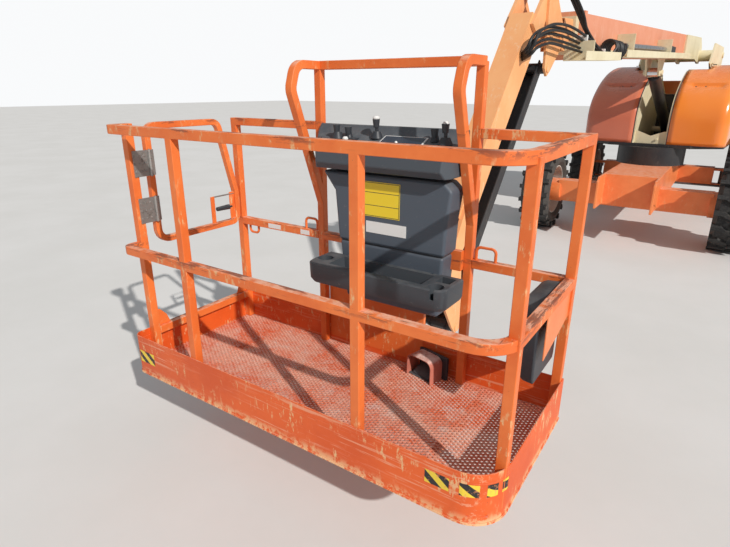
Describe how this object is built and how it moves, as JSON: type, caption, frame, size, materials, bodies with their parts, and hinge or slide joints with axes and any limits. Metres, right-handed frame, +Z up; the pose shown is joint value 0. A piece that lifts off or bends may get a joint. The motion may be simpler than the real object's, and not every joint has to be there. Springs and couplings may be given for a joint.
{
  "type": "telescopic boom lift",
  "caption": "Self-propelled telescopic boom lift with slewing turntable, articulated jib and a railed work platform.",
  "frame": {"origin": "on the ground under the middle of the machine's bounding box", "axes": "+X across the chassis, +Y from the platform towards the counterweight, +Z up"},
  "size_m": [2.595, 9.3999, 2.501],
  "materials": {
    "tyre": "matte",
    "rim_grey": "satin",
    "orange": "gloss",
    "hood_orange": "gloss",
    "rail_orange": "satin",
    "boom_orange": "satin",
    "cream": "satin",
    "black": "satin",
    "iron": "matte",
    "steel": "satin",
    "chrome_rod": "gloss",
    "console_grey": "satin",
    "black_plastic": "matte"
  },
  "bodies": {
    "chassis": {"chassis_frame": "orange", "slew_ring": "iron", "drive_axle": "orange", "steer_axle": "orange"},
    "wheel_fl": {"tyre_fl": "tyre", "rim_fl": "rim_grey"},
    "wheel_fr": {"tyre_fr": "tyre", "rim_fr": "rim_grey"},
    "wheel_rl": {"tyre_rl": "tyre", "rim_rl": "rim_grey"},
    "wheel_rr": {"tyre_rr": "tyre", "rim_rr": "rim_grey"},
    "steering_l": {"knuckle_l": "iron"},
    "steering_r": {"knuckle_r": "iron"},
    "track_rod": {"tie_rod": "iron"},
    "turntable": {"turntable_base": "cream", "turret": "cream", "counterweight": "orange", "engine": "iron"},
    "hood_left": {"hood_l": "hood_orange"},
    "hood_right": {"hood_r": "hood_orange"},
    "base_boom": {"boom_base": "boom_orange", "boom_heel": "boom_orange", "hose_tray": "cream", "carrier_tube": "steel"},
    "lift_cylinder": {"lift_barrel": "black"},
    "lift_ram": {"lift_rod": "chrome_rod"},
    "mid_boom": {"boom_mid": "cream"},
    "fly_boom": {"boom_fly": "boom_orange", "track_bracket": "cream"},
    "boom_nose": {"nose_knuckle": "boom_orange"},
    "jib_arm": {"jib": "boom_orange"},
    "parallel_link": {"jib_link": "black"},
    "jib_cylinder": {"jib_barrel": "black"},
    "jib_ram": {"jib_rod": "chrome_rod"},
    "jib_end": {"platform_support": "boom_orange"},
    "platform": {"rotator_bracket": "rail_orange", "deck": "rail_orange", "toe_boards": "rail_orange", "guard_rails": "rail_orange", "console_guard": "rail_orange", "console": "console_grey", "foot_switch": "console_grey", "manual_box": "black_plastic"},
    "entry_gate": {"gate": "rail_orange"}
  },
  "joints": [
    {"name": "wheel_fl_spin", "type": "hinge", "parent": "chassis", "child": "wheel_fl", "pos_m": [-1.015, 1.21, 0.508], "axis": [1, 0, 0], "continuous": true},
    {"name": "wheel_fr_spin", "type": "hinge", "parent": "chassis", "child": "wheel_fr", "pos_m": [1.12, 1.21, 0.508], "axis": [1, 0, 0], "continuous": true},
    {"name": "wheel_rl_spin", "type": "hinge", "parent": "steering_l", "child": "wheel_rl", "pos_m": [-1.015, 3.69, 0.508], "axis": [1, 0, 0], "continuous": true},
    {"name": "wheel_rr_spin", "type": "hinge", "parent": "steering_r", "child": "wheel_rr", "pos_m": [1.12, 3.69, 0.508], "axis": [1, 0, 0], "continuous": true},
    {"name": "steer", "type": "hinge", "parent": "chassis", "child": "steering_l", "pos_m": [-0.8625, 3.69, 0.508], "axis": [0, 0, 1], "range_deg": [-35, 35]},
    {"name": "steer_right", "type": "hinge", "parent": "chassis", "child": "steering_r", "pos_m": [0.9675, 3.69, 0.508], "axis": [0, 0, 1], "range_deg": [-35.01, 35.01]},
    {"name": "track_rod_pivot", "type": "hinge", "parent": "steering_l", "child": "track_rod", "pos_m": [-0.8625, 3.49, 0.508], "axis": [0, 0, 1], "range_deg": [-35.01, 35.01]},
    {"name": "slew", "type": "hinge", "parent": "chassis", "child": "turntable", "pos_m": [0.0525, 2.45, 1.035], "axis": [0, 0, 1], "continuous": true},
    {"name": "hood_left_lift", "type": "hinge", "parent": "turntable", "child": "hood_left", "pos_m": [-0.40134, 2.48253, 2.098], "axis": [0.0715, 0.9974, 0], "range_deg": [0, 60]},
    {"name": "hood_right_lift", "type": "hinge", "parent": "turntable", "child": "hood_right", "pos_m": [0.50634, 2.41747, 2.098], "axis": [-0.0715, -0.9974, 0], "range_deg": [0, 60]},
    {"name": "lift", "type": "hinge", "parent": "turntable", "child": "base_boom", "pos_m": [0.1669, 4.04591, 2.25], "axis": [-0.9974, 0.0715, 0], "range_deg": [0, 70]},
    {"name": "lift_cylinder_pivot", "type": "hinge", "parent": "turntable", "child": "lift_cylinder", "pos_m": [0.11327, 3.29783, 1.2], "axis": [-0.9974, 0.0715, 0], "range_deg": [-0.01, 58.62]},
    {"name": "lift_ram_slide", "type": "slide", "parent": "lift_cylinder", "child": "lift_ram", "axis": [-0.0645, -0.9, 0.4311], "range_m": [-0.0001, 1.40405]},
    {"name": "extend", "type": "slide", "parent": "base_boom", "child": "mid_boom", "axis": [-0.0714, -0.9967, -0.0384], "range_m": [0, 3.9]},
    {"name": "extend_fly", "type": "slide", "parent": "mid_boom", "child": "fly_boom", "axis": [-0.0714, -0.9967, -0.0384], "range_m": [-0.0001, 3.9001]},
    {"name": "level", "type": "hinge", "parent": "fly_boom", "child": "boom_nose", "pos_m": [-0.26566, -1.98861, 2.095], "axis": [-0.9974, 0.0715, 0], "range_deg": [-70.01, 0.01]},
    {"name": "jib_lift", "type": "hinge", "parent": "boom_nose", "child": "jib_arm", "pos_m": [-0.28139, -2.20805, 2.345], "axis": [-0.9974, 0.0715, 0], "range_deg": [-4, 120]},
    {"name": "parallel_link_pivot", "type": "hinge", "parent": "boom_nose", "child": "parallel_link", "pos_m": [-0.27853, -2.16815, 1.895], "axis": [-0.9974, 0.0715, 0], "range_deg": [-4.01, 120.01]},
    {"name": "jib_cylinder_pivot", "type": "hinge", "parent": "boom_nose", "child": "jib_cylinder", "pos_m": [-0.27925, -2.17813, 2.095], "axis": [-0.9974, 0.0715, 0], "range_deg": [-3.78, 113.1]},
    {"name": "jib_ram_slide", "type": "slide", "parent": "jib_cylinder", "child": "jib_ram", "axis": [-0.0489, -0.6821, -0.7297], "range_m": [-0.01406, 0.41895]},
    {"name": "jib_end_pivot", "type": "hinge", "parent": "jib_arm", "child": "jib_end", "pos_m": [-0.35707, -3.26381, 0.82772], "axis": [-0.9974, 0.0715, 0], "range_deg": [-120.01, 4.01]},
    {"name": "platform_swing", "type": "hinge", "parent": "jib_end", "child": "platform", "pos_m": [-0.3825, -3.6, 0.71], "axis": [0, 0, 1], "range_deg": [-90, 90]},
    {"name": "gate_swing", "type": "hinge", "parent": "platform", "child": "entry_gate", "pos_m": [-1.2455, -4.512, 1.33], "axis": [0, 0, -1], "range_deg": [0, 90]}
  ],
  "couplings": [
    {"joint": "steer_right", "follows": "steer", "ratio": 1},
    {"joint": "track_rod_pivot", "follows": "steer", "ratio": -1},
    {"joint": "lift_cylinder_pivot", "follows": "lift", "ratio": 0.83724},
    {"joint": "lift_ram_slide", "follows": "lift", "m_per_rad": 1.1491},
    {"joint": "level", "follows": "lift", "ratio": -1},
    {"joint": "extend_fly", "follows": "extend", "ratio": 1},
    {"joint": "parallel_link_pivot", "follows": "jib_lift", "ratio": 1},
    {"joint": "jib_cylinder_pivot", "follows": "jib_lift", "ratio": 0.94244},
    {"joint": "jib_ram_slide", "follows": "jib_lift", "m_per_rad": 0.19999},
    {"joint": "jib_end_pivot", "follows": "jib_lift", "ratio": -1}
  ]
}
